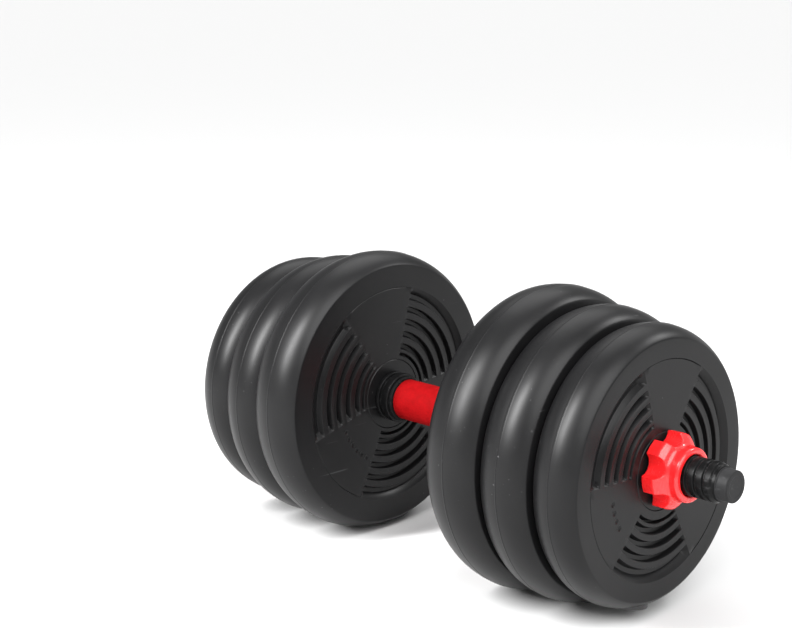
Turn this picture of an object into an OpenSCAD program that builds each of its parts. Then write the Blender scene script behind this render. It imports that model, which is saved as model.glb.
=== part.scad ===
// Adjustable dumbbell: a threaded bar, six filled plastic plates and two screw-on star nuts.
// Millimetres. X runs along the bar, +Z is up, and the origin is on the floor under the middle
// of the bar, where the two inner plates stand.

/* [Bar] */
// Clear distance between the two inner plates
grip_gap = 125; // [120:1:150]
// Outer diameter of the thread's crests
thread_d = 25; // [24:0.5:26]
// Distance from one thread crest to the next, and the nut's travel in one turn
thread_pitch = 6; // [5:0.5:8]
// Depth of the thread
thread_depth = 1.4; // [1:0.1:1.8]
// How far the bar stands out past the outer plate
tip_length = 53; // [48:1:70]
// Length of the plain end cap
cap_length = 8; // [6:0.5:12]
// Outer diameter of the steel core tube
core_d = 18; // [16:0.5:19]

/* [Grip] */
// Outer diameter of the grip sleeve
grip_d = 28.6; // [26:0.2:32]
// Length of the grip sleeve
grip_length = 96; // [88:1:100]
// Diameter of the stop collar's two bands
collar_d = 35.2; // [33:0.2:42]

/* [Plates] */
// Diameter of the outer, smallest plate
outer_d = 180; // [170:1:184]
// Diameter of the middle plate
middle_d = 192; // [186:1:196]
// Diameter of the inner, largest plate
inner_d = 202; // [198:1:220]
// Thickness of the outer plate
outer_t = 33.3; // [30:0.1:36]
// Thickness of the middle plate
middle_t = 36.7; // [34:0.1:40]
// Thickness of the inner plate
inner_t = 40.8; // [38:0.1:44]
// Diameter of the hole through a plate
bore_d = 30; // [28.6:0.2:31]
// Depth of the ring grooves moulded in the ribbed sectors
groove_depth = 4; // [2:0.5:4.5]
// Angle that one ribbed sector covers
ribbed_angle = 70; // [50:1:80]
// How far the filling port's cap stands out of its flat
cap_rise = 2.4; // [1.5:0.1:2.4]

/* [Star nut] */
// Radius over the nut's six lobes
nut_lobe_r = 24; // [22:0.5:28]
// Radius at the bottom of the nut's scoops
nut_scoop_r = 18; // [17.5:0.5:20]
// Thickness of the nut's lobed flange
nut_flange_t = 9; // [7:0.5:12]
// Radius of the nut's round collar
nut_collar_r = 17.4; // [16:0.1:17.5]
// Length of the nut, flange and collar
nut_length = 21.5; // [16:0.5:24]

/* [Hidden] */
$fn = 96;
play = 0.3;                    // gap between bodies that move apart
skin = 0.05;                   // gap between a filling and its shell, or a tube and its sleeve
big = 400;                     // side of the cubes that cut a half space away

// Plates, ordered from the middle of the bar outwards: 0 inner, 1 middle, 2 outer
plate_d = [inner_d, middle_d, outer_d];
plate_t = [inner_t, middle_t, outer_t];
// Distance from the bar's middle to each plate's inner face
plate_x = [for (i = [0:2]) grip_gap / 2 + i * play + (i > 0 ? plate_t[0] : 0) + (i > 1 ? plate_t[1] : 0)];
rim_depth = 13;                // radial half-axis of the rim's oval section
rim_swell = 2;                 // how far the oval's half-width passes the plate's face
flat_cut = 3.4;                // depth of the flat cut into the tread
wall = 3;                      // thickness of the moulded shell
bore_r = bore_d / 2;
hub_wall = 3.2;                // wall round the bore
hub_r = 25.3;                  // fine ring line round the hub
// Circle that the sectors end on
recess_r = [for (d = plate_d) outer_d / 2 - 19.4 + (d - outer_d) * 0.314];
rib_pitch = [8.95, 8.9, 8.63]; // distance between two grooves
rib_count = [5, 4, 4];         // wide grooves in each ribbed sector
groove_w = [4.6, 4.5, 4.3];    // width of one groove, the rest of the pitch is its crest
first_w = 9.3;                 // width of the outermost groove, bevel included
first_bevel = 5;
last_w = 2.4;                  // width of a narrow groove inside the others, and its distance from them
last_gap = 2.3;
line_w = 0.8;                  // fine moulded line round the smooth sectors
line_depth = 0.8;
// Pips that mark a plate's weight, on one smooth sector of each face
pip_count = [6, 5, 4];
pip_r = 1.9;
pip_depth = 0.7;
pip_ring_r = 49.5;
pip_pitch = 7;
// Filling port on the tread's flat
cap_r = 14;
cap_seat_gap = 0.8;
cap_seat_depth = 1.2;
stem_r = 9.5;
stem_length = 3.2;

// Each plate is turned a little on the bar, and hangs on it or carries it within the bore's play.
// Turn and lift for inner, middle, outer, on the right and on the left.
turn = [[0, -3, -7.2], [11, 7, 4]];
half_cap_angle = atan(cap_r / (inner_d / 2 - flat_cut + cap_rise));
cap_foot = inner_d / 2 - flat_cut + cap_rise;                 // height of a plate that stands on its cap
edge_foot = cap_foot / cos(half_cap_angle) * cos(turn[1][0] - half_cap_angle);   // and on the cap's edge
bar_z = cap_foot - 0.3;
hang = bore_r - thread_d / 2 - play;                           // of a plate that hangs on the bar
lift = [[cap_foot - bar_z, -hang, -hang], [edge_foot - bar_z, -hang, -hang]];

stack_x = plate_x[2] + outer_t;                               // outer face of the outer plate
bar_half = stack_x + tip_length;
thread_r = thread_d / 2;
root_r = thread_r - thread_depth;
core_r = core_d / 2;
core_wall = 2.5;
sleeve_start = grip_length / 2 + skin;
thread_end = bar_half - cap_length;
cap_tip_r = 10.1;
washer_t = 1.2;
washer_x = stack_x + play;
nut_x = washer_x + washer_t + 0.1;
nut_bore_r = thread_r + play;
ring_x = sleeve_start;
ring_w = 2.6;
ring_r = 15.8;
collar_w = grip_gap / 2 - play - ring_x - ring_w;

SIDES = ["right", "left"];
PLATES = ["inner", "middle", "outer"];
BAR_NODES = ["core_tube", "grip_sleeve"];
SIDE_NODES = [for (s = SIDES, n = ["threaded_sleeve", "end_cap", "stop_collar", "grip_ring",
                                   "nut_washer", "star_nut"]) str(n, "_", s)];
PLATE_NODES = [for (s = SIDES, p = PLATES, n = ["shell", "filling", "port_cap"])
    str(p, "_plate_", n, "_", s)];

// Turns a solid made along +Z round the origin into one along +X at the bar's height
module along_x() translate([0, 0, bar_z]) rotate([0, 90, 0]) children();

// Mirrors a solid made for the right side to the named side
module on_side(s) mirror([s == 1 ? 1 : 0, 0, 0]) children();

module tube(x0, x1, r_out, r_in)
    along_x() rotate_extrude() polygon([[r_in, x0], [r_out, x0], [r_out, x1], [r_in, x1]]);

// ---- Bar ----

module core_tube()
    color("silver") tube(-thread_end + 0.1, thread_end - 0.1, core_r, core_r - core_wall);

module grip_sleeve() {
    edge = 0.8;
    half = grip_length / 2;
    r = grip_d / 2;
    color("red") along_x() rotate_extrude()
        polygon([[core_r + skin, -half], [r - edge, -half], [r, -half + edge],
                 [r, half - edge], [r - edge, half], [core_r + skin, half]]);
}

// Moulded sleeve whose rounded ridges have the nut's pitch
module threaded_sleeve() {
    first = grip_gap / 2 + thread_pitch / 2;
    turns = floor((thread_end - first) / thread_pitch);
    crest = 0.24 * thread_pitch;
    slope = 0.2 * thread_pitch;
    ridges = [for (k = [0:turns - 1]) let (x = first + k * thread_pitch)
        each [[root_r, x - crest - slope], [thread_r, x - crest], [thread_r, x + crest],
              [root_r, x + crest + slope]]];
    color("#1c1c1e") along_x() rotate_extrude()
        polygon(concat([[core_r + skin, sleeve_start], [thread_r - 0.2, sleeve_start],
                        [thread_r - 0.2, grip_gap / 2], [root_r, grip_gap / 2]],
                       ridges, [[root_r, thread_end], [core_r + skin, thread_end]]));
}

// Plain chamfered end with a spigot that closes the core tube
module end_cap() {
    chamfer = 0.6;
    spigot_r = core_r - core_wall - skin;
    spigot = 14;
    color("#1c1c1e") along_x() rotate_extrude()
        polygon([[0, thread_end - spigot], [spigot_r, thread_end - spigot], [spigot_r, thread_end + skin],
                 [cap_tip_r, thread_end + skin], [cap_tip_r, bar_half - chamfer],
                 [cap_tip_r - chamfer, bar_half], [0, bar_half]]);
}

// Collar that the inner plate is pushed against: two bands with a groove between them
module stop_collar() {
    bore = thread_r - 0.2 + skin;
    start = ring_x + ring_w;
    end = start + collar_w;
    band = 0.54 * collar_w;       // width of the band beside the grip
    groove = 2.4;                 // width and depth of the groove
    edge = 0.7;
    r = collar_d / 2;
    color("#1c1c1e") along_x() rotate_extrude()
        polygon([[bore, start], [r - edge, start], [r, start + edge], [r, start + band],
                 [r - groove, start + band], [r - groove, start + band + groove], [r, start + band + groove],
                 [r, end - edge], [r - edge, end], [bore, end]]);
}

module grip_ring()
    color("#262628") tube(ring_x, ring_x + ring_w - 0.02, ring_r, thread_r - 0.2 + skin);

// ---- Nut ----

module nut_washer()
    color("#202020") tube(washer_x, washer_x + washer_t, nut_scoop_r - 1.5, nut_bore_r);

// Flange with six scoops round its edge, and a collar, with a plain bore that clears the thread's crests
module star_nut() {
    scoop_r = 7.4;
    first_scoop = 12.5;           // angle of one scoop
    edge = 1.6;
    color("red") translate([nut_x, 0, bar_z]) rotate([0, 90, 0]) difference() {
        union() {
            linear_extrude(nut_flange_t) difference() {
                circle(r = nut_lobe_r);
                for (k = [0:5])
                    rotate(first_scoop + 60 * k) translate([nut_scoop_r + scoop_r, 0]) circle(r = scoop_r);
            }
            rotate_extrude() polygon([[0, 1], [nut_collar_r, 1], [nut_collar_r, nut_length - edge],
                                      [nut_collar_r - edge, nut_length], [0, nut_length]]);
        }
        translate([0, 0, -1]) cylinder(r = nut_bore_r, h = nut_length + 2);
    }
}

// ---- Plates ----
// A plate is made with its axis on X through the origin, its mid-plane at x = 0, the middle of one
// smooth sector up and the filling port down.

module spin_x() rotate([0, 90, 0]) rotate_extrude() children();

// Half of the rim's oval section from one face to the other, pulled in by inset
function rim(r, t, inset, half) = [for (k = [-8:8])
    let (w = t / 2 + rim_swell - inset, x = half * k / 8)
    [r - rim_depth + (rim_depth - inset) * sqrt(1 - pow(x / w, 2)), x]];

module plate_solid(i) difference() {
    r = plate_d[i] / 2;
    t = plate_t[i];
    spin_x() polygon(concat([[bore_r, -t / 2]], rim(r, t, 0, t / 2), [[bore_r, t / 2]]));
    translate([-big / 2, -big / 2, -big - r + flat_cut]) cube(big);
}

// The hollow of a shell, or with a gap the filling that sets in it
module hollow(i, gap) {
    r = plate_d[i] / 2;
    t = plate_t[i];
    half_rim = t / 2 - wall - gap;
    half_web = t / 2 - groove_depth - wall - gap;
    inner_r = bore_r + hub_wall + gap;
    step_r = recess_r[i] + wall + gap;
    floor_z = -r + flat_cut + cap_seat_depth + stem_length + gap;
    difference() {
        spin_x() polygon(concat([[inner_r, -half_web], [step_r, -half_web], [step_r, -half_rim]],
                                rim(r, t, wall + gap, half_rim),
                                [[step_r, half_rim], [step_r, half_web], [inner_r, half_web]]));
        translate([-big / 2, -big / 2, floor_z - big]) cube(big);
    }
}

// Keeps what lies within a sector round +Z, whose two end walls slope up to the face at x = 0
module in_sector(angle)
    intersection_for(m = [0, 1])
        intersection() {
            children();
            mirror([0, m, 0]) rotate([angle / 2, 0, 0]) rotate([0, 0, 45])
                translate([0, -big / 2, -big / 2]) cube(big);
        }

// Section of a ring groove from radius r to r + w: a steep inner wall, a flat floor, and an outer wall
// that slopes over the given bevel
function groove(r, w, bevel) = [[r, 1], [r, 0], [r + 0.3, -groove_depth], [r + w - bevel, -groove_depth],
                                [r + w, 0], [r + w, 1]];

// Moulded relief of a face that lies at x = 0 with its normal along +X
module face_relief(i) {
    first = recess_r[i] - first_w;
    last = first - rib_pitch[i] * (rib_count[i] - 1) - last_gap - last_w;
    for (s = [0:2]) rotate([120 * s + 60, 0, 0]) in_sector(ribbed_angle) spin_x() {
        polygon(groove(first, first_w, first_bevel));
        for (k = [1:rib_count[i] - 1]) polygon(groove(first - rib_pitch[i] * k, groove_w[i], 0.3));
        polygon(groove(last, last_w, 0.3));
    }
    spin_x() for (r = [hub_r, recess_r[i]])
        polygon([[r - line_w, 0.5], [r - line_w / 2, -line_depth], [r, 0.5]]);
    for (k = [1:pip_count[i]])
        rotate([120 + (k - (pip_count[i] + 1) / 2) * pip_pitch, 0, 0])
            translate([-pip_depth, 0, pip_ring_r]) rotate([0, 90, 0]) cylinder(r = pip_r, h = 1);
}

module plate_shell(i) {
    t = plate_t[i];
    seat_z = -plate_d[i] / 2 + flat_cut;
    difference() {
        plate_solid(i);
        hollow(i, 0);
        for (turn_z = [0, 180]) rotate([0, 0, turn_z]) translate([t / 2, 0, 0]) face_relief(i);
        translate([0, 0, seat_z - 2]) cylinder(r = cap_r + cap_seat_gap, h = 2 + cap_seat_depth);
        translate([0, 0, seat_z]) cylinder(r = stem_r + skin, h = 10);
    }
}

module plate_filling(i) hollow(i, skin);

// Round cap on the flat of the tread, with a stem that plugs the filling port
module port_cap(i) {
    seat = plate_d[i] / 2 - flat_cut - cap_seat_depth;
    edge = 0.5;
    rotate([180, 0, 0]) rotate_extrude()
        polygon([[0, seat - stem_length], [stem_r, seat - stem_length], [stem_r, seat + skin],
                 [cap_r, seat + skin], [cap_r, seat + cap_seat_depth + cap_rise - edge],
                 [cap_r - edge, seat + cap_seat_depth + cap_rise], [0, seat + cap_seat_depth + cap_rise]]);
}

// Puts plate i of side s in its place on the bar
module on_bar(s, i)
    translate([(s == 1 ? -1 : 1) * (plate_x[i] + plate_t[i] / 2), 0, bar_z + lift[s][i]])
        rotate([turn[s][i], 0, 0]) children();

for (s = [0, 1], side = [SIDES[s]]) {
    on_side(s) threaded_sleeve();
    on_side(s) end_cap();
    on_side(s) stop_collar();
    on_side(s) grip_ring();
    on_side(s) nut_washer();
    on_side(s) star_nut();
    for (i = [0:2], name = [PLATES[i]]) {
        color("#2b2b2d") on_bar(s, i) plate_shell(i);
        color("tan") on_bar(s, i) plate_filling(i);
        color("#343436") on_bar(s, i) port_cap(i);
    }
}
core_tube();
grip_sleeve();
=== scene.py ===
"""Adjustable dumbbell: the looks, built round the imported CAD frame. Metres, X along the bar, +Z up.

Pieces are drawn in millimetres, as the CAD model is, and MM turns them into metres where a mesh is made.
"""
import math

import bpy
import numpy as np
from mathutils import Matrix, Vector


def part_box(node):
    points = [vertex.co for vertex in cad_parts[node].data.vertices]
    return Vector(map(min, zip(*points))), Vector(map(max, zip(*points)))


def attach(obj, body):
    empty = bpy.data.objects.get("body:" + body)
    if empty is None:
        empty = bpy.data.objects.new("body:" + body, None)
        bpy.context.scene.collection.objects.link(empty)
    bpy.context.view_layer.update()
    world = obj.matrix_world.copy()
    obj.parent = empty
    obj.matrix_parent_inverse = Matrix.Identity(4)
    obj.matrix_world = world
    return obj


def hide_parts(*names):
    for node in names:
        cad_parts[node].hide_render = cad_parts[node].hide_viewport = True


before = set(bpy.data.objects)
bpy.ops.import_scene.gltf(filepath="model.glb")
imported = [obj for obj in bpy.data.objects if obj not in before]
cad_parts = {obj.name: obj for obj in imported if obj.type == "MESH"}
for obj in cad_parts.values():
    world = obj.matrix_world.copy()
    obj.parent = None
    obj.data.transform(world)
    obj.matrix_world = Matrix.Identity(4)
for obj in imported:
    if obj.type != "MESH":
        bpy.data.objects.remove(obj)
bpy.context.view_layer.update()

MM = 0.001
SIDES = {"right": 1, "left": -1}
PLATES = ("inner", "middle", "outer")


# ---------------------------------------------------------------- the frame's own places

def middle(node):
    """Middle of a CAD node's box, in metres."""
    low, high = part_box(node)
    return (low + high) / 2


def reach(node, side):
    """Distances from the bar's middle to a node's near and far end on that side, in millimetres."""
    low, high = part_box(node)
    near, far = (low.x, high.x) if side == "right" else (-high.x, -low.x)
    return near / MM, far / MM


def half_width(node):
    """Half a CAD node's width across the bar, in millimetres."""
    low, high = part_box(node)
    return (high.y - low.y) / 2 / MM


BAR_Z = middle("core_tube").z


# ---------------------------------------------------------------- mesh helpers

LONGEST_CUT = 0.45       # share of an edge that one rounded corner may take


def shade_smooth(mesh, sharp_angle=32):
    """Smooth shading, but for edges that are sharper than an angle in degrees."""
    mesh.polygons.foreach_set("use_smooth", [True] * len(mesh.polygons))
    mesh.set_sharp_from_angle(angle=math.radians(sharp_angle))


def new_piece(name, points, faces, sharp_angle=32):
    """An object from points and faces."""
    mesh = bpy.data.meshes.new(name)
    mesh.from_pydata([tuple(p) for p in points], [], faces)
    mesh.validate()
    mesh.update()
    shade_smooth(mesh, sharp_angle)
    obj = bpy.data.objects.new(name, mesh)
    bpy.context.scene.collection.objects.link(obj)
    return obj


def grid_faces(rings, steps, rings_closed=False):
    """Quads between consecutive rings of the same number of points; the last ring may join the first."""
    faces = []
    for i in range(rings if rings_closed else rings - 1):
        a, b = i * steps, ((i + 1) % rings) * steps
        for j in range(steps):
            k = (j + 1) % steps
            faces.append((a + j, a + k, b + k, b + j))
    return faces


def bend(start, corner, end, t):
    """A point on the soft curve from start to end that turns towards a corner."""
    return tuple(start * (1 - t) ** 2 + corner * 2 * t * (1 - t) + end * t * t)


def rounded(profile, radii, steps=4):
    """A closed (x, r) profile whose corners are cut round, each by its own radius."""
    out = []
    for i, corner in enumerate(profile):
        corner = Vector(corner)
        before, after = Vector(profile[i - 1]), Vector(profile[(i + 1) % len(profile)])
        cut = min(radii[i], LONGEST_CUT * (before - corner).length, LONGEST_CUT * (after - corner).length)
        if cut == 0:
            out.append(tuple(corner))
            continue
        a = corner + (before - corner).normalized() * cut
        b = corner + (after - corner).normalized() * cut
        out += [bend(a, corner, b, k / steps) for k in range(steps + 1)]
    return out


def around_bar(name, side, rings, sharp_angle=32):
    """A closed piece from rings round the bar's axis. A ring is a list of (x, r) points at even angles, from
    +Z towards -Y, and x is measured from the bar's middle towards that side."""
    steps = len(rings[0])
    points = []
    for ring in rings:
        for j, (x, r) in enumerate(ring):
            a = 2 * math.pi * j / steps
            points.append((SIDES[side] * x * MM, -r * MM * math.sin(a), BAR_Z + r * MM * math.cos(a)))
    faces = grid_faces(len(rings), steps, rings_closed=True)
    if side == "left":
        faces = [f[::-1] for f in faces]
    return new_piece(name, points, faces, sharp_angle)


def turned(name, side, profile, steps=96):
    """A piece turned round the bar's axis from a closed (x, r) profile."""
    return around_bar(name, side, [[point] * steps for point in profile])


def upright(rings, steps):
    """Points and faces of a closed upright form from its (z, r) rings, with a flat disc at both ends."""
    points = []
    for z, r in rings:
        for j in range(steps):
            a = 2 * math.pi * j / steps
            points.append((r * math.cos(a), r * math.sin(a), z))
    last = (len(rings) - 1) * steps
    faces = grid_faces(len(rings), steps)
    return points, faces + [tuple(range(steps))[::-1], tuple(range(last, last + steps))]


def block(width, height, top):
    """A square box to cut with, its top at a height."""
    points = [(x * width, y * width, top - height / 2 + z * height)
              for x in (-0.5, 0.5) for y in (-0.5, 0.5) for z in (-0.5, 0.5)]
    faces = [(0, 1, 3, 2), (4, 6, 7, 5), (0, 4, 5, 1), (2, 3, 7, 6), (0, 2, 6, 4), (1, 5, 7, 3)]
    return new_piece("cutter", points, faces)


def rod(radius, height, top, steps=96):
    """An upright cylinder to cut with, its top at a height."""
    return new_piece("cutter", *upright([(top - height, radius), (top, radius)], steps))


def balls(radius, centres, steps=40):
    """Separate balls to cut dimples with."""
    rows = steps // 2
    points, faces = [], []
    for x, y, z in centres:
        first = len(points)
        points.append((x - radius, y, z))
        for i in range(1, rows):
            p = math.pi * i / rows
            for j in range(steps):
                a = 2 * math.pi * j / steps
                points.append((x - radius * math.cos(p), y + radius * math.sin(p) * math.cos(a),
                               z + radius * math.sin(p) * math.sin(a)))
        points.append((x + radius, y, z))
        last = len(points) - 1
        for j in range(steps):
            k = (j + 1) % steps
            faces.append((first, first + 1 + k, first + 1 + j))
            faces.append((last, last - steps + j, last - steps + k))
        faces += [tuple(first + 1 + corner for corner in face) for face in grid_faces(rows - 1, steps)]
    return new_piece("cutter", points, faces)


def cut_out(obj, cutter):
    """Cuts cutter out of obj for good, and removes it."""
    cut = obj.modifiers.new("cut", "BOOLEAN")
    cut.operation = "DIFFERENCE"
    cut.solver = "EXACT"
    cut.object = cutter
    graph = bpy.context.evaluated_depsgraph_get()
    mesh = bpy.data.meshes.new_from_object(obj.evaluated_get(graph))
    old = obj.data
    obj.modifiers.clear()
    obj.data = mesh
    bpy.data.meshes.remove(old)
    bpy.data.objects.remove(cutter)


# ---------------------------------------------------------------- materials

class Nodes:
    """A short way to wire the nodes of a material or of the world."""

    def __init__(self, owner):
        owner.use_nodes = True
        self.owner = owner
        self.tree = owner.node_tree
        self.coordinates = self.add("ShaderNodeTexCoord")

    def add(self, kind):
        """A new node of that kind."""
        return self.tree.nodes.new(kind)

    def feed(self, socket, value):
        """Sets a socket to a number or a colour, or links another node's output to it."""
        if isinstance(value, (int, float)):
            socket.default_value = value
        elif isinstance(value, tuple):
            socket.default_value = (*value, 1)
        else:
            self.tree.links.new(value, socket)

    def noise(self, scale, detail=3.0, roughness=0.5, stretch=(1, 1, 1), turn=(0, 0, 0)):
        """Noise whose pattern is turned, and drawn out along the axes whose stretch is small."""
        mapping = self.add("ShaderNodeMapping")
        mapping.inputs["Rotation"].default_value = turn
        mapping.inputs["Scale"].default_value = stretch
        self.feed(mapping.inputs["Vector"], self.coordinates.outputs["Object"])
        node = self.add("ShaderNodeTexNoise")
        self.feed(node.inputs["Scale"], scale)
        self.feed(node.inputs["Detail"], detail)
        self.feed(node.inputs["Roughness"], roughness)
        self.feed(node.inputs["Vector"], mapping.outputs["Vector"])
        return node.outputs["Fac"]

    def ramp(self, source, *stops):
        """Maps source through (position, value) stops, where a value is a number or a colour."""
        node = self.add("ShaderNodeValToRGB")
        elements = node.color_ramp.elements
        while len(elements) < len(stops):
            elements.new(0.5)
        for element, (position, value) in zip(elements, stops):
            element.position = position
            element.color = (*value, 1) if isinstance(value, tuple) else (value, value, value, 1)
        self.feed(node.inputs["Fac"], source)
        return node.outputs["Color"]

    def spread(self, source, low, high):
        """Maps the middle of a noise's range, where most of it lies, to low and high."""
        return self.ramp(source, (0.3, low), (0.7, high))

    def math(self, operation, a, b):
        """One step of arithmetic."""
        node = self.add("ShaderNodeMath")
        node.operation = operation
        self.feed(node.inputs[0], a)
        self.feed(node.inputs[1], b)
        return node.outputs["Value"]

    def mix(self, factor, a, b, kind="RGBA"):
        """Goes from a to b, two colours or two numbers, as the factor goes from 0 to 1."""
        node = self.add("ShaderNodeMix")
        node.data_type = kind
        sockets = [s for s in node.inputs if s.enabled]
        for socket, value in zip(sockets, (factor, a, b)):
            self.feed(socket, value)
        return [s for s in node.outputs if s.enabled][0]

    def fade(self, source, start, end, low=0.0, high=1.0):
        """Goes softly from low to high as source goes from start to end."""
        node = self.add("ShaderNodeMapRange")
        node.interpolation_type = "SMOOTHSTEP"
        for socket, value in zip(("From Min", "From Max", "To Min", "To Max"), (start, end, low, high)):
            self.feed(node.inputs[socket], value)
        self.feed(node.inputs["Value"], source)
        return node.outputs["Result"]

    def bump(self, height, strength, distance, below=None):
        """A normal from a height, on top of the normal below."""
        node = self.add("ShaderNodeBump")
        self.feed(node.inputs["Strength"], strength)
        self.feed(node.inputs["Distance"], distance)
        self.feed(node.inputs["Height"], height)
        if below is not None:
            self.feed(node.inputs["Normal"], below)
        return node.outputs["Normal"]

    def scratches(self, turns, share):
        """Fine short straight marks in a few directions; share is how far the noise is cut off."""
        marks = 0.0
        for turn in turns:
            streak = self.noise(520, 0.0, stretch=(1, 0.028, 1), turn=turn)
            marks = self.math("MAXIMUM", self.ramp(streak, (share, 0.0), (share + 0.05, 1.0)), marks)
        return marks

    def surface(self, inputs):
        """Feeds the shader's inputs by their names, and gives the finished material."""
        shader = self.tree.nodes["Principled BSDF"]
        for name, value in inputs.items():
            self.feed(shader.inputs[name], value)
        return self.owner


def material_nodes(name):
    """The nodes of a new material."""
    return Nodes(bpy.data.materials.new(name))


def plate_plastic():
    """Satin moulded polyethylene: a fine grain, cloudy gloss, faint handling marks and a few pale nicks."""
    n = material_nodes("plate_plastic")
    cloud = n.noise(22, 4.0, 0.6)
    smear = n.noise(70, 3.0, 0.65, stretch=(1, 0.25, 0.25), turn=(0.4, 0.2, 0.1))
    scratch = n.scratches(((0.5, 0.3, 0.7), (1.1, 0.2, 2.1), (2.2, 1.3, 0.4)), share=0.83)
    nick = n.ramp(n.noise(620, 0.0), (0.84, 0.0), (0.88, 1.0))
    handled = n.ramp(n.noise(26, 2.0), (0.52, 0.0), (0.62, 1.0))
    worn = n.math("MAXIMUM", n.math("MULTIPLY", scratch, 0.20), n.math("MULTIPLY", nick, 0.45))
    mark = n.math("MULTIPLY", handled, worn)
    base = n.spread(cloud, (0.0050, 0.0050, 0.0053), (0.0072, 0.0071, 0.0075))
    rough = n.math("ADD", n.spread(cloud, 0.33, 0.37), n.ramp(smear, (0.35, 0.0), (0.7, 0.06)))
    grain = n.bump(n.noise(900, 2.0), 0.10, 0.00005)
    return n.surface({
        "Base Color": n.mix(mark, base, (0.14, 0.14, 0.145)),
        "Roughness": n.math("ADD", rough, n.math("MULTIPLY", mark, 0.2)),
        "Specular IOR Level": 0.21,
        "Normal": n.bump(n.noise(48, 2.0), 0.10, 0.0005, below=grain),
    })


def cap_plastic():
    """The port caps' plastic, a little paler and duller than the shells."""
    n = material_nodes("port_cap_plastic")
    cloud = n.noise(60, 4.0, 0.6)
    return n.surface({
        "Base Color": n.spread(cloud, (0.016, 0.016, 0.017), (0.023, 0.023, 0.024)),
        "Roughness": n.spread(cloud, 0.42, 0.55),
        "Normal": n.bump(n.noise(700, 3.0), 0.15, 0.0001),
    })


def bar_plastic(name, low, high, rough, grain):
    """Black moulded plastic of the bar's small parts, between two tones, with a rubbed, cloudy surface."""
    n = material_nodes(name)
    cloud = n.noise(120, 4.0, 0.65)
    rub = n.ramp(n.noise(420, 3.0, 0.7, stretch=(0.35, 1, 1)), (0.60, 0.0), (0.72, 0.25))
    base = n.spread(cloud, (low, low, low * 1.04), (high, high, high * 1.04))
    return n.surface({
        "Base Color": n.mix(rub, base, (0.09, 0.09, 0.094)),
        "Roughness": n.spread(cloud, rough - 0.05, rough + 0.08),
        "Specular IOR Level": 0.12,
        "Normal": n.bump(n.noise(1400, 3.0), grain, 0.00012),
    })


def nut_plastic():
    """Glossy red moulded plastic with a slight orange peel and small knocks."""
    n = material_nodes("nut_red")
    peel = n.bump(n.noise(650, 2.0), 0.06, 0.00012)
    return n.surface({
        "Base Color": n.spread(n.noise(90, 3.0, 0.5), (0.93, 0.014, 0.016), (1.0, 0.022, 0.026)),
        "Roughness": n.ramp(n.noise(160, 4.0, 0.7), (0.35, 0.20), (0.75, 0.33)),
        "Coat Weight": 0.25,
        "Coat Roughness": 0.12,
        "Normal": n.bump(n.noise(90, 3.0, 0.7), 0.10, 0.0004, below=peel),
    })


def grip_foam():
    """Matt red grip: soft, finely mottled skin with tiny pores, and painted shade in the pores."""
    n = material_nodes("grip_red")
    cell = n.add("ShaderNodeTexVoronoi")
    cell.feature = "F1"
    n.feed(cell.inputs["Scale"], 950)
    n.feed(cell.inputs["Vector"], n.coordinates.outputs["Object"])
    blotch = n.noise(170, 4.0, 0.65)
    # Painted shade: the pits' middles are mixed towards a darker red, where shade falls in the pores
    pore_shade = n.ramp(cell.outputs["Distance"], (0.05, 1.0), (0.30, 0.0))
    base = n.spread(blotch, (0.19, 0.0012, 0.002), (0.25, 0.0022, 0.0035))
    pits = n.bump(cell.outputs["Distance"], 0.35, 0.00018)
    return n.surface({
        "Base Color": n.mix(n.math("MULTIPLY", pore_shade, 0.30), base, (0.11, 0.001, 0.0015)),
        "Roughness": n.spread(blotch, 0.66, 0.80),
        "Specular IOR Level": 0.05,
        "Normal": n.bump(n.noise(420, 4.0, 0.7), 0.35, 0.0004, below=pits),
    })


def rubber():
    """Dull black rubber of the nut washers."""
    n = material_nodes("washer_rubber")
    cloud = n.noise(150, 4.0, 0.6)
    return n.surface({
        "Base Color": n.spread(cloud, (0.008, 0.008, 0.008), (0.013, 0.013, 0.013)),
        "Roughness": n.spread(cloud, 0.70, 0.85),
        "Normal": n.bump(n.noise(1200, 3.0), 0.3, 0.0001),
    })


def steel():
    """Steel tube with marks drawn out along its length."""
    n = material_nodes("steel_core")
    drawn = n.noise(600, 3.0, 0.6, stretch=(0.02, 1, 1))
    return n.surface({
        "Base Color": n.spread(drawn, (0.42, 0.42, 0.43), (0.58, 0.58, 0.59)),
        "Roughness": n.spread(drawn, 0.28, 0.42),
        "Metallic": 1.0,
        "Normal": n.bump(drawn, 0.15, 0.00005),
    })


def cement():
    """Sandy set cement of the plates' fillings."""
    n = material_nodes("plate_filling")
    sand = n.noise(900, 5.0, 0.75)
    return n.surface({
        "Base Color": n.spread(sand, (0.26, 0.25, 0.23), (0.46, 0.44, 0.41)),
        "Roughness": n.spread(sand, 0.85, 0.95),
        "Normal": n.bump(sand, 0.6, 0.0004),
    })


MATERIALS = {
    "plate_plastic": plate_plastic(),
    "port_cap_plastic": cap_plastic(),
    "thread_black": bar_plastic("thread_black", 0.003, 0.005, rough=0.30, grain=0.20),
    "cap_black": bar_plastic("cap_black", 0.014, 0.020, rough=0.48, grain=0.30),
    "collar_black": bar_plastic("collar_black", 0.005, 0.008, rough=0.34, grain=0.20),
    "ring_black": bar_plastic("ring_black", 0.005, 0.008, rough=0.62, grain=0.30),
    "washer_rubber": rubber(),
    "nut_red": nut_plastic(),
    "grip_red": grip_foam(),
    "steel_core": steel(),
    "plate_filling": cement(),
}


def paint(obj, slot):
    """Gives an object the material of a slot, and no other."""
    obj.data.materials.clear()
    obj.data.materials.append(MATERIALS[slot])


def dress(piece, slot, body, node):
    """Gives a piece its material and its body, and hides the CAD node that it stands for."""
    paint(piece, slot)
    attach(piece, body)
    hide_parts(node)


# ---------------------------------------------------------------- plates: where they are

FLAT_CUT = 3.4           # depth of the flat across the tread
SEAT_RADIUS = 14.8       # round seat of the port's cap, sunk in the flat
SEAT_DEPTH = 1.2


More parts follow.
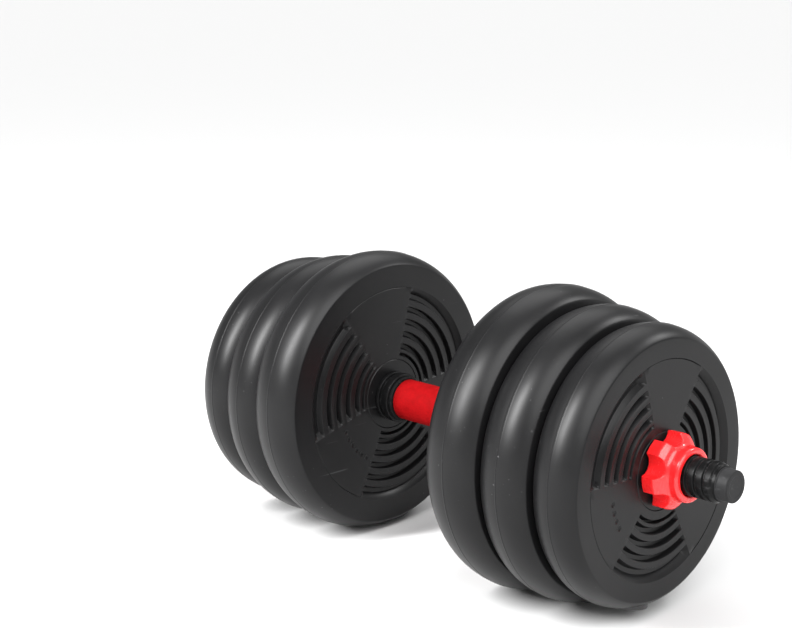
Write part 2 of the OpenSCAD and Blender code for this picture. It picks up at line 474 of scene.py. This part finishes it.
def set_on_bar(piece, name, side):
    """Puts a piece that is drawn round a plate's own middle where the plate is, and turns it as the plate is
    turned, which shows in where the port cap lies."""
    shell = f"{name}_plate_shell_{side}"
    low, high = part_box(shell)
    centre = Vector((middle(shell).x, 0, high.z - half_width(shell) * MM))
    cap = middle(f"{name}_plate_port_cap_{side}")
    turn = math.atan2(cap.y, centre.z - cap.z)
    piece.data.transform(Matrix.Scale(MM, 4))
    piece.data.transform(Matrix.Translation(centre) @ Matrix.Rotation(turn, 4, "X"))


# ---------------------------------------------------------------- plates: the face's relief

LINE = 0.8               # width of a fine moulded line
LINE_STEP = 0.15 * LINE  # width of its steep outer edge
LINE_DEPTH = 0.7 * LINE
HUB_LINE = 25.3          # radius of the line round the hub
GROOVE_DEPTH = 4.0
# Circle that the ribbed sectors end on, distance between two grooves, and how many wide grooves there are
RECESS = {"inner": 77.5, "middle": 74.4, "outer": 70.6}
GROOVE_PITCH = {"inner": 8.95, "middle": 8.9, "outer": 8.63}
GROOVE_COUNT = {"inner": 5, "middle": 4, "outer": 4}
# The outermost groove is wider, and the innermost one narrower, with a narrow crest before it
FIRST_WIDTH = 9.3
GROOVE_WIDTH = 4.5
LAST_WIDTH = 2.4
LAST_CREST = 2.3
# A groove's walls as (distance into the groove from its edge, share of its depth)
OUTER_WALL = ((-0.35, 0), (0, 0.06), (0.25, 0.88), (0.5, 0.97), (0.9, 1))
INNER_WALL = ((0, 0), (0.2, 0.08), (1.1, 0.87), (1.3, 0.96), (1.5, 1))
FIRST_OUTER_WALL = ((0, 0), (4.2, 0.72), (4.7, 0.95), (5.7, 1))
FIRST_INNER_WALL = ((0, 0), (0.2, 0.08), (1.25, 0.90), (1.6, 0.98))
# The worn hollow along a crest, as (distance inwards from the groove outside it, share of a groove's depth)
CREST_WEAR = ((0.9, 0), (2.1, 0.045), (3.2, 0))

SECTORS = 3              # ribbed sectors, with as many smooth ones between them
SECTOR_TURN = 60         # where the first ribbed sector's middle is, in degrees from the top
RIBBED_HALF = 35.0       # half the angle of a ribbed sector
RIBBED_STEPS = 26
SMOOTH_STEPS = 20
END_SLOPE = 1.05         # how steeply the relief starts at a ribbed sector's end
END_RAMP = (0.0, 0.5, 1.0, 1.6, 2.2, 2.9, 3.6, 4.3)     # where the sloping end has points

PIPS = {"inner": 6, "middle": 5, "outer": 4}
PIP_SECTOR = 120         # middle of the smooth sector that has them, in degrees from the top
PIP_RING = 49.5
PIP_PITCH = 7.0          # degrees from pip to pip
PIP_RADIUS = 1.9
PIP_DEPTH = 0.7


def groove(low, high, outer_wall=OUTER_WALL, inner_wall=INNER_WALL):
    """(r, share of the depth) points of one ring groove between two radii."""
    return [(high - d, share) for d, share in outer_wall] + [(low + d, share) for d, share in inner_wall]


def groove_section(name):
    """(r, depth) points of the ribbed sectors' section, in order of radius."""
    first = RECESS[name] - FIRST_WIDTH
    lows = [first - GROOVE_PITCH[name] * k for k in range(1, GROOVE_COUNT[name])]
    last = lows[-1] - LAST_CREST
    points = groove(first, RECESS[name], FIRST_OUTER_WALL, FIRST_INNER_WALL)
    points += groove(last - LAST_WIDTH, last)
    for low in lows:
        points += groove(low, low + GROOVE_WIDTH)
        points += [(low - d, share) for d, share in CREST_WEAR if low - d > last]
    return [(r, share * GROOVE_DEPTH) for r, share in sorted(points)]


def line_depth(r, outer):
    """Depth of a fine moulded line at radius r: a step down at its outer edge, then a slope back up."""
    return float(np.interp(outer - r, (0, LINE_STEP, LINE), (0, LINE_DEPTH, 0))) if r < outer else 0.0


def sector_angles(r):
    """Angles round the plate at radius r, dense where the ribbed sectors' ends slope, each with the point's
    distance into its ribbed sector from the end, or None in a smooth sector."""
    half = math.radians(RIBBED_HALF)
    ends = [(d, math.asin(d / r)) for d in END_RAMP]
    slope = ends[-1][1]
    out = []
    for sector in range(SECTORS):
        centre = math.radians(SECTOR_TURN + 360 / SECTORS * sector)
        out += [(centre - half + a, d) for d, a in ends]
        out += [(centre - half + slope + 2 * (half - slope) * k / RIBBED_STEPS, math.inf)
                for k in range(1, RIBBED_STEPS)]
        out += [(centre + half - a, d) for d, a in ends[::-1]]
        out += [(centre + half + (2 * math.pi / SECTORS - 2 * half) * k / SMOOTH_STEPS, None)
                for k in range(1, SMOOTH_STEPS)]
    return out


def plate_ring(name, x, r, relief):
    """One ring of points round a plate's middle, with the face's relief or without."""
    ribs = float(np.interp(r, *zip(*groove_section(name))))
    edge, hub = line_depth(r, RECESS[name]), line_depth(r, HUB_LINE)
    points = []
    for a, inside in sector_angles(r):
        depth = edge if inside is None else min(ribs, END_SLOPE * inside)
        depth = max(depth, hub) if relief else 0.0
        points.append((x - depth, -r * math.sin(a), r * math.cos(a)))
    return points


# ---------------------------------------------------------------- plates: the shell

BORE = 15.0
BORE_EDGE = 0.6          # chamfer at the bore's mouth
HUB_MARGIN = 0.7         # from the line round the hub to the next ring, which keeps the face flat there
BORDER_MARGIN = 0.4      # the same outside the circle that the ribbed sectors end on
RIM_DEPTH = 13.0         # radial half-axis of the rim's oval section
RIM_SWELL = 2.0          # how far the oval's half-width passes the face
RIM_STEPS = 22
CREASE = 0.7             # how far the soft crease between the face and the rim reaches, each way
# The parting line is a low ridge round the rim: (distance from its middle, height)
PARTING_LINE = ((0.55, -0.01), (0.30, 0.03), (0.12, 0.16))
CLOSE = 0.06             # rings that are closer than this are one


def face_radii(name, crease):
    """Radii of the rings on a plate's flat face, from the bore's mouth to the crease at the rim."""
    recess = RECESS[name]
    radii = [BORE + BORE_EDGE, BORE + 3, BORE + 5]
    radii += [HUB_LINE - LINE, HUB_LINE - LINE_STEP, HUB_LINE, HUB_LINE + HUB_MARGIN]
    radii += [r for r, _ in groove_section(name)]
    radii += [recess - LINE, recess - LINE_STEP]
    border = recess + BORDER_MARGIN
    radii += [border + (crease - CREASE - border) * k / 3 for k in range(4)]
    kept = []
    for r in sorted(radii):
        if not kept or r - kept[-1] > CLOSE:
            kept.append(r)
    return kept


def plate_section(name, radius, half):
    """The plate's section as (x, r) points of its +X half, from inside the bore out to the rim's middle."""
    swell = half + RIM_SWELL

    def rim(a):
        """Point of the rim's oval section at an angle from its outermost point."""
        return swell * math.sin(a), radius - RIM_DEPTH + RIM_DEPTH * math.cos(a)

    edge = math.asin(half / swell)
    crease = rim(edge)[1]
    rim_start = edge - CREASE / RIM_DEPTH
    rim_end = math.asin(PARTING_LINE[0][0] / swell)
    start, corner, end = Vector((half, crease - CREASE)), Vector((half, crease)), Vector(rim(rim_start))
    section = [(0.0, BORE), (half / 2, BORE), (half - BORE_EDGE, BORE)]
    section += [(half, r) for r in face_radii(name, crease)]
    section += [bend(start, corner, end, k / 5) for k in range(1, 5)]
    section += [rim(rim_start + (rim_end - rim_start) * k / RIM_STEPS) for k in range(RIM_STEPS)]
    return section + [(x, radius + height) for x, height in PARTING_LINE]


def pip_balls(name, half, flip):
    """Balls that cut the row of pips into one face."""
    radius = (PIP_RADIUS ** 2 + PIP_DEPTH ** 2) / (2 * PIP_DEPTH)
    x = half - PIP_DEPTH + radius
    centres = []
    for k in range(PIPS[name]):
        a = math.radians(PIP_SECTOR + (k - (PIPS[name] - 1) / 2) * PIP_PITCH)
        centres.append((flip * x, -flip * PIP_RING * math.sin(a), PIP_RING * math.cos(a)))
    return balls(radius, centres)


def plate_shell(name, side):
    """One moulded shell: ribbed and smooth sectors on both faces, an oval rim, and the port's flat."""
    node = f"{name}_plate_shell_{side}"
    near, far = reach(node, side)
    half = (far - near) / 2
    radius = half_width(node)
    front = [plate_ring(name, x, r, relief=x == half) for x, r in plate_section(name, radius, half)]
    back = [[(-x, y, z) for x, y, z in ring] for ring in front[:0:-1]]
    rings = front + back
    points = [point for ring in rings for point in ring]
    faces = grid_faces(len(rings), len(rings[0]), rings_closed=True)
    shell = new_piece(f"{name}_plate_{side}", points, [f[::-1] for f in faces])
    seat = radius - FLAT_CUT
    cut_out(shell, block(width=80, height=20, top=-seat))
    cut_out(shell, rod(SEAT_RADIUS, height=10, top=SEAT_DEPTH - seat))
    for flip in (1, -1):
        cut_out(shell, pip_balls(name, half, flip))
    shade_smooth(shell.data)
    set_on_bar(shell, name, side)
    dress(shell, "plate_plastic", f"{name}_plate_{side}", node)


# ---------------------------------------------------------------- plates: the port's cap

CAP_RADIUS = 14.0
CAP_HEIGHT = 3.6
CAP_GAP = 0.05           # under the cap's border
STEM_RADIUS = 9.5
STEM_LENGTH = 3.2
POINT = 0.02             # radius of the tiny disc that closes a form in its middle
# The soft edge, the border, the dished middle and the moulding nib, as (depth below the cap's face, radius)
CAP_FACE = ((0.75, CAP_RADIUS), (0.45, 13.9), (0.18, 13.65), (0.03, 13.2), (0, 12.6), (0, 11.2),
            (0.14, 10.8), (0.16, 6.0), (0.16, 1.5), (0.10, 1.2), (0.02, 0.7), (0, POINT))


def port_cap(name, side):
    """Round cap on a stem, which looks down from the plate's middle."""
    foot = half_width(f"{name}_plate_shell_{side}") - FLAT_CUT - SEAT_DEPTH
    profile = [(foot - STEM_LENGTH, POINT), (foot - STEM_LENGTH, STEM_RADIUS), (foot + CAP_GAP, STEM_RADIUS),
               (foot + CAP_GAP, CAP_RADIUS)]
    profile += [(foot + CAP_HEIGHT - depth, r) for depth, r in CAP_FACE]
    points, faces = upright([(-h, r) for h, r in profile], steps=72)
    cap = new_piece(f"{name}_port_cap_{side}", points, [f[::-1] for f in faces])
    set_on_bar(cap, name, side)
    dress(cap, "port_cap_plastic", f"{name}_plate_{side}", f"{name}_plate_port_cap_{side}")


# ---------------------------------------------------------------- bar

PITCH = 6.0
CREST_R = 12.5
ROOT_R = 11.2
PLAIN_R = 12.3           # where the sleeve has no thread
PLAIN_EDGE = 0.6         # length over which it goes down to the thread's root
SLEEVE_BORE = 9.1        # round the core tube
RUN_OUT = 2.0            # length over which the thread fades at its ends
THREAD_END = 1.2         # from the last of the thread to the sleeve's end
RINGS_PER_PITCH = 30
THREAD_STEPS = 96
# The ridge's height, 0 to 1, by the distance from its crest, 0, to the valley, 1
RIDGE_DISTANCE = (0, 0.62, 0.68, 0.74, 0.80, 0.87, 1)
RIDGE_HEIGHT = (1, 0.99, 0.93, 0.70, 0.34, 0.08, 0)
COLLAR_BORE = 12.35
COLLAR_R = 17.6
COLLAR_BAND = 0.54       # share of the collar's length that the inner band takes
COLLAR_GROOVE = 2.4      # width and depth
RING_R = 15.8
TIP_R = 10.1
TIP_LENGTH = 8.0
TIP_RING = 0.8           # how far the ring behind the tip stands out
TIP_RING_WIDTH = 0.5
TIP_CHAMFER = 0.6
SUNK_R = 6.6             # radius and depth of the sunken end face
SUNK_DEPTH = 0.12
SPIGOT_R = 6.4
PINHOLE = 0.05           # where a profile stops short of the bar's axis
GRIP_EDGE = 1.0          # radius of the grip's rounded ends
GRIP_SPANS = 30
RIPPLE = 0.05            # height and length of the faint waves along the grip
RIPPLE_LENGTH = 11


def ridge(phase):
    """Height of the thread's ridge, 0 to 1, over one pitch: a wide flat crest and a narrow round valley."""
    return float(np.interp(abs(phase % 1.0 - 0.5) * 2, RIDGE_DISTANCE, RIDGE_HEIGHT))


def threaded_sleeve(side):
    """Moulded sleeve: plain under the collar, then a right-hand thread that fades at both of its ends."""
    node = f"threaded_sleeve_{side}"
    start, end = reach(node, side)
    thread_start = reach(f"inner_plate_shell_{side}", side)[0]

    def thread(x, j):
        """The radius at one point of a ring. A right-hand thread moves towards +X as the angle grows."""
        fade = min(1.0, (x - thread_start) / RUN_OUT, max(0.0, (end - THREAD_END - x) / RUN_OUT))
        return ROOT_R + (CREST_R - ROOT_R) * ridge(SIDES[side] * x / PITCH - j / THREAD_STEPS) * fade

    length = end - thread_start
    count = round(length / PITCH * RINGS_PER_PITCH)
    rings = [[(x, PLAIN_R)] * THREAD_STEPS for x in (start, thread_start - PLAIN_EDGE)]
    for k in range(count + 1):
        x = thread_start + length * k / count
        rings.append([(x, thread(x, j)) for j in range(THREAD_STEPS)])
    rings += [[(x, SLEEVE_BORE)] * THREAD_STEPS for x in (end, start)]
    sleeve = around_bar(f"thread_{side}", side, rings, sharp_angle=40)
    dress(sleeve, "thread_black", "bar", node)


def end_cap(side):
    """Plain tip of the bar on a spigot, with a thin ring behind it, a chamfer and a sunken end face."""
    node = f"end_cap_{side}"
    start, end = reach(node, side)
    back = end - TIP_LENGTH
    sunk = end - SUNK_DEPTH
    ring_end = back + TIP_RING_WIDTH
    profile = [(start, PINHOLE), (start, SPIGOT_R), (back, SPIGOT_R), (back, TIP_R + TIP_RING),
               (ring_end, TIP_R + TIP_RING), (ring_end + 0.4, TIP_R), (end - TIP_CHAMFER, TIP_R),
               (end, TIP_R - TIP_CHAMFER), (end, SUNK_R + 0.2), (sunk, SUNK_R), (sunk, PINHOLE)]
    radii = (0, 0.2, 0, 0.2, 0.3, 0.3, 0.3, 0.3, 0.1, 0.1, 0)
    tip = turned(f"bar_tip_{side}", side, rounded(profile, radii))
    dress(tip, "cap_black", "bar", node)


def stop_collar(side):
    """Collar of two bands with a groove between them."""
    node = f"stop_collar_{side}"
    start, end = reach(node, side)
    band = start + COLLAR_BAND * (end - start)
    floor = COLLAR_R - COLLAR_GROOVE
    next_band = band + COLLAR_GROOVE
    profile = [(start, COLLAR_BORE), (start, COLLAR_R), (band, COLLAR_R), (band, floor),
               (next_band, floor), (next_band, COLLAR_R), (end, COLLAR_R), (end, COLLAR_BORE)]
    collar = turned(f"collar_{side}", side, rounded(profile, (0.1, 1.0, 0.8, 0.6, 0.6, 0.8, 0.8, 0.1)))
    dress(collar, "collar_black", "bar", node)


def grip_ring(side):
    """Black ring where the grip ends."""
    node = f"grip_ring_{side}"
    start, end = reach(node, side)
    profile = [(start, COLLAR_BORE), (start, RING_R), (end, RING_R), (end, COLLAR_BORE)]
    ring = turned(f"grip_end_ring_{side}", side, rounded(profile, (0.1, 0.7, 0.5, 0.1)))
    dress(ring, "ring_black", "bar", node)


def grip():
    """Grip sleeve with faint waves along it and soft ends that close on the bar."""
    half = reach("grip_sleeve", "right")[1]
    radius = half_width("grip_sleeve")
    end = [(half, radius - GRIP_EDGE)]
    for degrees in (20, 40, 60, 80):
        a = math.radians(degrees)
        end.append((half - GRIP_EDGE * (1 - math.cos(a)), radius - GRIP_EDGE + GRIP_EDGE * math.sin(a)))
    flat = half - GRIP_EDGE - 0.2
    section = [(-half, SLEEVE_BORE)] + [(-x, r) for x, r in end]
    for k in range(GRIP_SPANS + 1):
        x = -flat + 2 * flat * k / GRIP_SPANS
        section.append((x, radius - RIPPLE * math.cos(2 * math.pi * x / RIPPLE_LENGTH)))
    section += end[::-1] + [(half, SLEEVE_BORE)]
    dress(turned("grip", "right", section), "grip_red", "bar", "grip_sleeve")


# ---------------------------------------------------------------- nuts and washers

NUT_BORE = 12.85
NUT_LOBE_R = 24.0
NUT_SCOOP_R = 18.2
NUT_COLLAR_R = 17.2
NUT_ROLL = 2.0           # radius of the collar's rolled edge
ROLL_MARGIN = 0.6        # from the rolled edge to the ring before it, which keeps the collar straight
BEVEL_END = NUT_COLLAR_R + 0.05
BACK_RINGS = (15.0, 16.4)       # radii of two rings on the nut's flat back
NUT_STEPS = 360
LOBES = 6
LOBE_TURN = 42.5         # where a lobe's middle is, in degrees from the top
LOBE_SOFT = 1.8          # how far from the lobe's circle the lobe's corners start to round off
SCOOP_CURVE = 7.6        # radius of a scoop's arc
# How the back's outer edge, the front's outer edge and the two ends of the bore are rounded: pairs of the
# depth below the face, and the distance in from the outline or out from the bore
BACK_EDGE = ((0.0, 1.1), (0.06, 0.7), (0.3, 0.28), (0.65, 0.06), (1.1, 0.0))
FRONT_EDGE = ((1.3, 0.0), (0.8, 0.05), (0.4, 0.17), (0.12, 0.35), (0.0, 0.6))
BORE_BACK = ((1.0, 0.0), (0.35, 0.2), (0.0, 0.8))
BORE_FRONT = ((0.02, 1.2), (0.25, 0.7), (0.8, 0.25), (1.4, 0.0))
# Radius, and how far the flange's front stands out there: a bevel that eases into the collar
NUT_FRONT = ((17.25, 15.9), (17.4, 15.2), (17.8, 14.4), (18.5, 13.6), (19.4, 13.0), (20.4, 12.5),
             (20.9, 12.15), (22.0, 11.1), (23.0, 10.1), (24.0, 9.0))
FRONT_SHARES = (0.06, 0.12, 0.2, 0.3, 0.4, 0.48, 0.56, 0.64, 0.72, 0.8, 0.88, 0.94, 0.98, 1.0)


def nut_outline(a):
    """Radius of the nut's outline at angle a: a round with a scoop between two lobes, the corners soft."""
    step = 2 * math.pi / LOBES
    near = (a - math.radians(LOBE_TURN) - step / 2) % step
    near = min(near, step - near)
    centre = NUT_SCOOP_R + SCOOP_CURVE
    inside = SCOOP_CURVE ** 2 - (centre * math.sin(near)) ** 2
    if inside <= 0:
        return NUT_LOBE_R
    scoop = centre * math.cos(near) - math.sqrt(inside)
    blend = max(LOBE_SOFT - abs(scoop - NUT_LOBE_R), 0) / LOBE_SOFT
    return min(scoop, NUT_LOBE_R) - blend * blend * LOBE_SOFT / 4


def nut_front(r):
    """How far the flange's front stands out at radius r."""
    return float(np.interp(r, *zip(*NUT_FRONT)))


def star_nut(side):
    """Six-lobed screw nut: scooped flange, bevelled front, round collar with a rolled edge, plain bore."""
    node = f"star_nut_{side}"
    start, end = reach(node, side)
    length = end - start
    outline = [nut_outline(2 * math.pi * j / NUT_STEPS) for j in range(NUT_STEPS)]
    back_top, front_back, front_inset = BACK_EDGE[-1][0], FRONT_EDGE[0][0], FRONT_EDGE[-1][1]

    def flat_rings(pairs):
        """Round rings from (s, r) pairs, where s is the distance from the nut's back."""
        return [[(s, r)] * NUT_STEPS for s, r in pairs]

    rings = flat_rings([(s, NUT_BORE + out) for s, out in BORE_BACK] + [(0.0, r) for r in BACK_RINGS])
    rings += [[(s, r - inset) for r in outline] for s, inset in BACK_EDGE]
    rings += [[(back_top + (nut_front(r) - front_back - back_top) * share, r) for r in outline]
              for share in (0.25, 0.5, 0.75)]
    rings += [[(nut_front(r - inset) - back, r - inset) for r in outline] for back, inset in FRONT_EDGE]
    for share in FRONT_SHARES:
        inward = [r - front_inset + (BEVEL_END - r + front_inset) * share for r in outline]
        rings.append([(nut_front(r), r) for r in inward])
    rings += flat_rings([(length - NUT_ROLL - ROLL_MARGIN, NUT_COLLAR_R)])
    turns = [math.pi / 2 * k / 6 for k in range(7)]
    rings += flat_rings([(length - NUT_ROLL * (1 - math.sin(a)), NUT_COLLAR_R - NUT_ROLL * (1 - math.cos(a)))
                         for a in turns])
    rings += flat_rings([(length - s, NUT_BORE + out) for s, out in BORE_FRONT] + [(length / 2, NUT_BORE)])
    placed = [[(start + s, r) for s, r in ring] for ring in rings]
    nut = around_bar(f"nut_{side}", side, placed, sharp_angle=50)
    dress(nut, "nut_red", f"star_nut_{side}", node)


def nut_washer(side):
    """Rubber ring between the nut and the outer plate."""
    node = f"nut_washer_{side}"
    start, end = reach(node, side)
    bore, outer = 12.8, half_width(node)
    profile = [(start, bore), (start, outer), (end, outer), (end, bore)]
    washer = turned(f"washer_{side}", side, rounded(profile, (0.1, 0.35, 0.35, 0.1)))
    dress(washer, "washer_rubber", f"nut_washer_{side}", node)


# ---------------------------------------------------------------- assembly

for side in SIDES:
    threaded_sleeve(side)
    end_cap(side)
    stop_collar(side)
    grip_ring(side)
    nut_washer(side)
    star_nut(side)
    for name in PLATES:
        plate_shell(name, side)
        port_cap(name, side)
grip()

# The core tube and the fillings are inside other pieces, and keep their CAD shapes
for node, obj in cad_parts.items():
    if not obj.hide_render:
        paint(obj, "steel_core" if node == "core_tube" else "plate_filling")


# ---------------------------------------------------------------- floor, light and camera

FLOOR_TONE = 1.0         # radiance of the lit floor, which the sky repeats at the horizon
SKY_LEFT = 0.20          # radiance of the sky towards -X, towards +X and overhead
SKY_RIGHT = 0.58
SKY_ABOVE = 0.45


def pale_floor():
    """A large pale floor at the height that the dumbbell stands on."""
    size = 60.0
    floor = new_piece("floor", [(-size, -size, 0), (size, -size, 0), (size, size, 0), (-size, size, 0)],
                      [(0, 1, 2, 3)])
    matt = material_nodes("floor").surface({
        "Base Color": (0.63, 0.63, 0.63),
        "Roughness": 1.0,
        "Specular IOR Level": 0.0,
    })
    floor.data.materials.append(matt)


def sky():
    """Soft surroundings: bright along the horizon, as a white sweep is, and dim above on the -X side."""
    world = bpy.data.worlds.new("studio")
    bpy.context.scene.world = world
    n = Nodes(world)
    split = n.add("ShaderNodeSeparateXYZ")
    n.feed(split.inputs["Vector"], n.coordinates.outputs["Generated"])
    across = n.fade(split.outputs["X"], start=-0.8, end=0.9, low=SKY_LEFT, high=SKY_RIGHT)
    upward = n.fade(split.outputs["Z"], start=0.5, end=1.0)
    horizon = n.fade(split.outputs["Z"], start=0.05, end=0.24)
    tone = n.mix(horizon, FLOOR_TONE, n.mix(upward, across, SKY_ABOVE, "FLOAT"), "FLOAT")
    n.feed(n.tree.nodes["Background"].inputs["Color"], tone)


def lamp(name, kind, direction, energy):
    """A lamp whose light comes from a direction."""
    light = bpy.data.lights.new(name, kind)
    light.energy = energy
    holder = bpy.data.objects.new(name, light)
    holder.rotation_euler = Vector(direction).to_track_quat("Z", "Y").to_euler()
    bpy.context.scene.collection.objects.link(holder)
    return holder


def far_light(name, direction, energy, spread):
    """A light from far away, spread over an angle in degrees."""
    lamp(name, "SUN", direction, energy).data.angle = math.radians(spread)


def soft_box(name, direction, energy, target, distance, size):
    """A rectangular softbox that faces its target from a distance."""
    holder = lamp(name, "AREA", direction, energy)
    holder.location = Vector(target) + Vector(direction).normalized() * distance
    holder.data.shape = "RECTANGLE"
    holder.data.size, holder.data.size_y = size


def studio():
    """A broad key light from the +X side, a weaker one from behind, a tall softbox that draws the rims'
    highlights, and a small one behind that lights the ribbed sectors' bevels."""
    far_light("key", direction=(0.62, -0.28, 0.73), energy=3.9, spread=55)
    far_light("back", direction=(-0.40, 0.47, 0.78), energy=0.7, spread=40)
    soft_box("strip", direction=(-0.31, -0.75, 0.58), energy=50,
             target=(0.12, -0.06, 0.13), distance=1.5, size=(0.13, 0.9))
    soft_box("rear", direction=(0.20, 0.68, 0.70), energy=7,
             target=(0.17, 0.0, 0.05), distance=1.6, size=(0.4, 0.3))


def camera():
    """The view: a long lens from the front right, a little above the bar."""
    data = bpy.data.cameras.new("camera")
    data.lens = 74.13
    data.sensor_width = 36
    data.shift_x = 0.048
    data.shift_y = -0.068
    eye = bpy.data.objects.new("camera", data)
    bpy.context.scene.collection.objects.link(eye)
    eye.location = (0.7458, -0.7995, 0.404)
    forward = Vector((-0.71455, 0.67655, -0.17803))
    eye.rotation_euler = forward.to_track_quat("-Z", "Y").to_euler()
    bpy.context.scene.camera = eye


pale_floor()
sky()
studio()
camera()
bpy.context.scene.view_settings.view_transform = "Standard"
